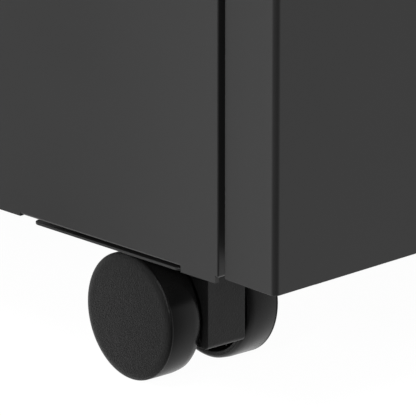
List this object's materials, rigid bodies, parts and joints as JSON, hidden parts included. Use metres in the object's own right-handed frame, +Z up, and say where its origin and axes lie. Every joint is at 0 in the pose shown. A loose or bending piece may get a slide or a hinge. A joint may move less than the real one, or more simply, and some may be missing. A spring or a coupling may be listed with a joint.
{
  "type": "mobile filing cabinet",
  "caption": "Mobile steel pedestal filing cabinet with box drawers over a file drawer, a cam lock and twin-wheel swivel casters.",
  "frame": {"origin": "on the floor under the middle of the object's box, handles included", "axes": "+X to the right along the front, +Y from the front to the back, +Z up"},
  "size_m": [0.39, 0.53, 0.6],
  "materials": {
    "powder_coat": "fine-textured matt powder coat",
    "zinc": "bright zinc plate",
    "lock_metal": "polished nickel",
    "handle_finish": "matt powder coat",
    "tray_plastic": "grained moulding",
    "wheel_plastic": "fine-textured nylon",
    "housing_plastic": "fine-textured nylon"
  },
  "bodies": {
    "case": {"side_panel_left": "powder_coat", "side_panel_right": "powder_coat", "top_cap": "powder_coat", "back_panel": "powder_coat", "base_pan": "powder_coat", "uprights": "powder_coat", "lock_housing": "lock_metal", "lock_bar_guides": "zinc", "caster_stems": "zinc", "caster_nuts": "zinc", "slides_outer_bottom": "zinc", "slides_outer_middle": "zinc", "slides_outer_top": "zinc", "caster_brackets_front": "powder_coat", "caster_brackets_rear": "powder_coat"},
    "drawer_bottom": {"drawer_front_bottom": "powder_coat", "drawer_inner_panel_bottom": "powder_coat", "drawer_tub_bottom": "powder_coat", "drawer_back_bottom": "powder_coat", "handle_bottom": "handle_finish", "handle_screws_bottom": "zinc", "slides_inner_bottom": "zinc", "hanging_bars": "zinc"},
    "slide_pair_bottom": {"slides_middle_bottom": "zinc"},
    "drawer_middle": {"drawer_front_middle": "powder_coat", "drawer_inner_panel_middle": "powder_coat", "drawer_tub_middle": "powder_coat", "drawer_back_middle": "powder_coat", "handle_middle": "handle_finish", "handle_screws_middle": "zinc", "slides_inner_middle": "zinc"},
    "slide_pair_middle": {"slides_middle_middle": "zinc"},
    "drawer_top": {"drawer_front_top": "powder_coat", "drawer_inner_panel_top": "powder_coat", "drawer_tub_top": "powder_coat", "drawer_back_top": "powder_coat", "handle_top": "handle_finish", "handle_screws_top": "zinc", "slides_inner_top": "zinc", "pencil_tray": "tray_plastic"},
    "slide_pair_top": {"slides_middle_top": "zinc"},
    "lock_barrel": {"lock_cylinder": "lock_metal", "key": "lock_metal"},
    "lock_rod": {"lock_bar": "zinc"},
    "caster_front_right": {"caster_housing_front_right": "housing_plastic", "caster_axle_front_right": "zinc"},
    "wheel_front_right_a": {"caster_wheel_front_right_a": "wheel_plastic"},
    "wheel_front_right_b": {"caster_wheel_front_right_b": "wheel_plastic"},
    "caster_front_left": {"caster_housing_front_left": "housing_plastic", "caster_axle_front_left": "zinc"},
    "wheel_front_left_a": {"caster_wheel_front_left_a": "wheel_plastic"},
    "wheel_front_left_b": {"caster_wheel_front_left_b": "wheel_plastic"},
    "caster_rear_right": {"caster_housing_rear_right": "housing_plastic", "caster_axle_rear_right": "zinc"},
    "wheel_rear_right_a": {"caster_wheel_rear_right_a": "wheel_plastic"},
    "wheel_rear_right_b": {"caster_wheel_rear_right_b": "wheel_plastic"},
    "caster_rear_left": {"caster_housing_rear_left": "housing_plastic", "caster_axle_rear_left": "zinc"},
    "wheel_rear_left_a": {"caster_wheel_rear_left_a": "wheel_plastic"},
    "wheel_rear_left_b": {"caster_wheel_rear_left_b": "wheel_plastic"}
  },
  "joints": [
    {"name": "drawer_bottom_slide", "type": "slide", "parent": "case", "child": "drawer_bottom", "axis": [0, -1, 0], "range_m": [0, 0.42]},
    {"name": "slide_pair_bottom_travel", "type": "slide", "parent": "case", "child": "slide_pair_bottom", "axis": [0, -1, 0], "range_m": [0, 0.21]},
    {"name": "drawer_middle_slide", "type": "slide", "parent": "case", "child": "drawer_middle", "axis": [0, -1, 0], "range_m": [0, 0.42]},
    {"name": "slide_pair_middle_travel", "type": "slide", "parent": "case", "child": "slide_pair_middle", "axis": [0, -1, 0], "range_m": [0, 0.21]},
    {"name": "drawer_top_slide", "type": "slide", "parent": "case", "child": "drawer_top", "axis": [0, -1, 0], "range_m": [0, 0.42]},
    {"name": "slide_pair_top_travel", "type": "slide", "parent": "case", "child": "slide_pair_top", "axis": [0, -1, 0], "range_m": [0, 0.21]},
    {"name": "lock_turn", "type": "hinge", "parent": "case", "child": "lock_barrel", "pos_m": [0.148, -0.235, 0.583], "axis": [0, 1, 0], "range_deg": [0, 90]},
    {"name": "lock_rod_drop", "type": "slide", "parent": "case", "child": "lock_rod", "axis": [0, 0, -1], "range_m": [0, 0.01]},
    {"name": "caster_front_right_swivel", "type": "hinge", "parent": "case", "child": "caster_front_right", "pos_m": [0.1277, -0.2011, 0.04], "axis": [0, 0, 1], "continuous": true},
    {"name": "wheel_front_right_a_spin", "type": "hinge", "parent": "caster_front_right", "child": "wheel_front_right_a", "pos_m": [0.10973, -0.20009, 0.025], "axis": [0.0558, 0.9984, 0], "continuous": true},
    {"name": "wheel_front_right_b_spin", "type": "hinge", "parent": "caster_front_right", "child": "wheel_front_right_b", "pos_m": [0.10973, -0.20009, 0.025], "axis": [0.0558, 0.9984, 0], "continuous": true},
    {"name": "caster_front_left_swivel", "type": "hinge", "parent": "case", "child": "caster_front_left", "pos_m": [-0.1277, -0.2011, 0.04], "axis": [0, 0, 1], "continuous": true},
    {"name": "wheel_front_left_a_spin", "type": "hinge", "parent": "caster_front_left", "child": "wheel_front_left_a", "pos_m": [-0.1456, -0.20298, 0.025], "axis": [-0.1045, 0.9945, 0], "continuous": true},
    {"name": "wheel_front_left_b_spin", "type": "hinge", "parent": "caster_front_left", "child": "wheel_front_left_b", "pos_m": [-0.1456, -0.20298, 0.025], "axis": [-0.1045, 0.9945, 0], "continuous": true},
    {"name": "caster_rear_right_swivel", "type": "hinge", "parent": "case", "child": "caster_rear_right", "pos_m": [0.1277, 0.2311, 0.04], "axis": [0, 0, 1], "continuous": true},
    {"name": "wheel_rear_right_a_spin", "type": "hinge", "parent": "caster_rear_right", "child": "wheel_rear_right_a", "pos_m": [0.10992, 0.23392, 0.025], "axis": [0.1564, 0.9877, 0], "continuous": true},
    {"name": "wheel_rear_right_b_spin", "type": "hinge", "parent": "caster_rear_right", "child": "wheel_rear_right_b", "pos_m": [0.10992, 0.23392, 0.025], "axis": [0.1564, 0.9877, 0], "continuous": true},
    {"name": "caster_rear_left_swivel", "type": "hinge", "parent": "case", "child": "caster_rear_left", "pos_m": [-0.1277, 0.2311, 0.04], "axis": [0, 0, 1], "continuous": true},
    {"name": "wheel_rear_left_a_spin", "type": "hinge", "parent": "caster_rear_left", "child": "wheel_rear_left_a", "pos_m": [-0.14566, 0.22984, 0.025], "axis": [-0.0698, 0.9976, 0], "continuous": true},
    {"name": "wheel_rear_left_b_spin", "type": "hinge", "parent": "caster_rear_left", "child": "wheel_rear_left_b", "pos_m": [-0.14566, 0.22984, 0.025], "axis": [-0.0698, 0.9976, 0], "continuous": true}
  ],
  "couplings": [
    {"joint": "slide_pair_bottom_travel", "follows": "drawer_bottom_slide", "ratio": 0.5},
    {"joint": "slide_pair_middle_travel", "follows": "drawer_middle_slide", "ratio": 0.5},
    {"joint": "slide_pair_top_travel", "follows": "drawer_top_slide", "ratio": 0.5},
    {"joint": "lock_turn", "follows": "lock_rod_drop", "rad_per_m": 157.08}
  ]
}
